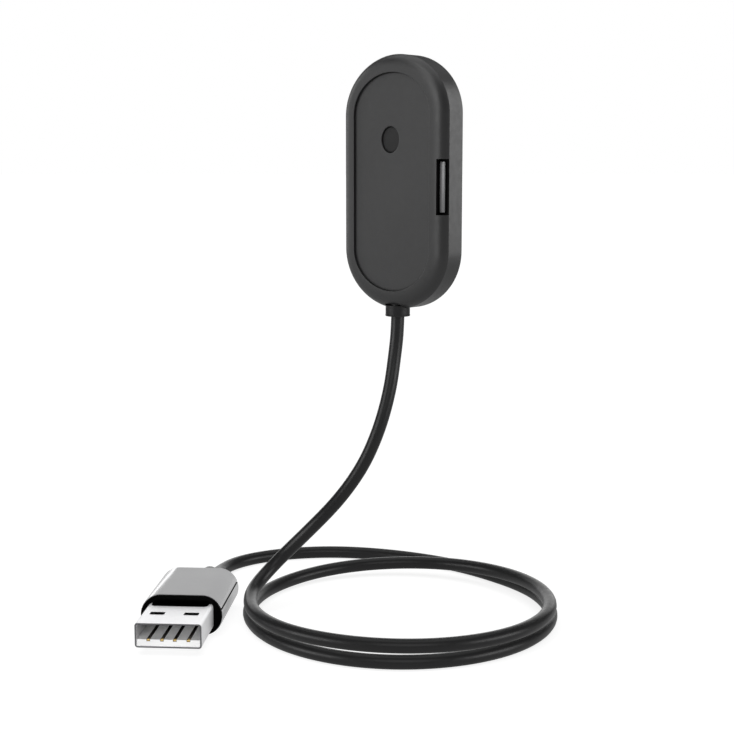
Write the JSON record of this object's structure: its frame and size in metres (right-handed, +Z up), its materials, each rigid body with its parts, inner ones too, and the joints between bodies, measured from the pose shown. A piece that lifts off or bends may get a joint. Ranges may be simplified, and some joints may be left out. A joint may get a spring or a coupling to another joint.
{
  "type": "fitness tracker charging lead",
  "caption": "Magnetic USB charging lead for a fitness tracker: pill-shaped dock with a reset button, release latch and sprung contacts, coiled thin lead and USB-A plug",
  "frame": {"origin": "middle of the dock pocket's floor, where the tracker's back rests", "axes": "+Z up along the pill-shaped dock, away from the lead; +Y out of the dock towards the tracker; the panel with the reset button faces -Y; the release latch is on +X"},
  "size_m": [0.08, 0.0816, 0.1072],
  "materials": {
    "housing": "satin moulded black plastic, finely textured",
    "collar": "satin black plastic",
    "panel": "matte dark grey plastic",
    "button": "matte black rubber",
    "latch": "brushed grey steel",
    "spring_steel": "bright spring steel",
    "screw": "zinc-plated steel",
    "board": "green solder mask",
    "chip": "black moulded epoxy",
    "plunger": "plated steel",
    "ceramic": "tan ceramic",
    "gold": "gold plate",
    "magnet": "nickel plate",
    "wire_red": "red insulation",
    "wire_black": "black insulation",
    "cord": "satin black jacket",
    "usb_shell": "bright plated steel",
    "usb_tongue": "white plastic",
    "usb_core": "gloss black plastic",
    "casing": "glossy grey metal",
    "relief": "grey plastic"
  },
  "bodies": {
    "dock": {"dock_housing": "housing", "rear_cover": "housing", "cable_collar": "collar", "front_panel": "panel", "latch_leaf_spring": "spring_steel", "pogo_spring_left": "spring_steel", "pogo_spring_right": "spring_steel", "cover_screw_1": "screw", "cover_screw_2": "screw", "cover_screw_3": "screw", "cover_screw_4": "screw", "circuit_board": "board", "charge_controller": "chip", "reset_switch_body": "chip", "capacitor_1": "ceramic", "capacitor_2": "ceramic", "pogo_barrel_left": "gold", "pogo_barrel_right": "gold", "magnet_upper": "magnet", "magnet_lower": "magnet", "wire_power": "wire_red", "wire_ground": "wire_black", "lead_cable": "cord", "plug_shell": "usb_shell", "plug_tongue": "usb_tongue", "plug_core": "usb_core", "plug_contact_1": "gold", "plug_contact_2": "gold", "plug_contact_3": "gold", "plug_contact_4": "gold", "plug_cover_upper": "casing", "plug_cover_lower": "casing", "plug_strain_relief": "relief"},
    "reset_button": {"reset_button": "button"},
    "switch_plunger": {"reset_switch_plunger": "plunger"},
    "release_latch": {"release_latch": "latch"},
    "pogo_left": {"pogo_pin_left": "gold"},
    "pogo_right": {"pogo_pin_right": "gold"}
  },
  "joints": [
    {"name": "reset_button_press", "type": "slide", "parent": "dock", "child": "reset_button", "axis": [0, 1, 0], "range_m": [0, 0.00025], "stiffness_N_per_m": 2},
    {"name": "switch_plunger_press", "type": "slide", "parent": "dock", "child": "switch_plunger", "axis": [0, 1, 0], "range_m": [0, 0.00025]},
    {"name": "release_latch_press", "type": "slide", "parent": "dock", "child": "release_latch", "axis": [-1, 0, 0], "range_m": [0, 0.0004], "stiffness_N_per_m": 2},
    {"name": "pogo_left_press", "type": "slide", "parent": "dock", "child": "pogo_left", "axis": [0, -1, 0], "range_m": [0, 0.0007], "stiffness_N_per_m": 2, "deforming": ["pogo_spring_left"]},
    {"name": "pogo_right_press", "type": "slide", "parent": "dock", "child": "pogo_right", "axis": [0, -1, 0], "range_m": [0, 0.0007], "stiffness_N_per_m": 2, "deforming": ["pogo_spring_right"]}
  ],
  "couplings": [
    {"joint": "switch_plunger_press", "follows": "reset_button_press", "ratio": 1}
  ]
}
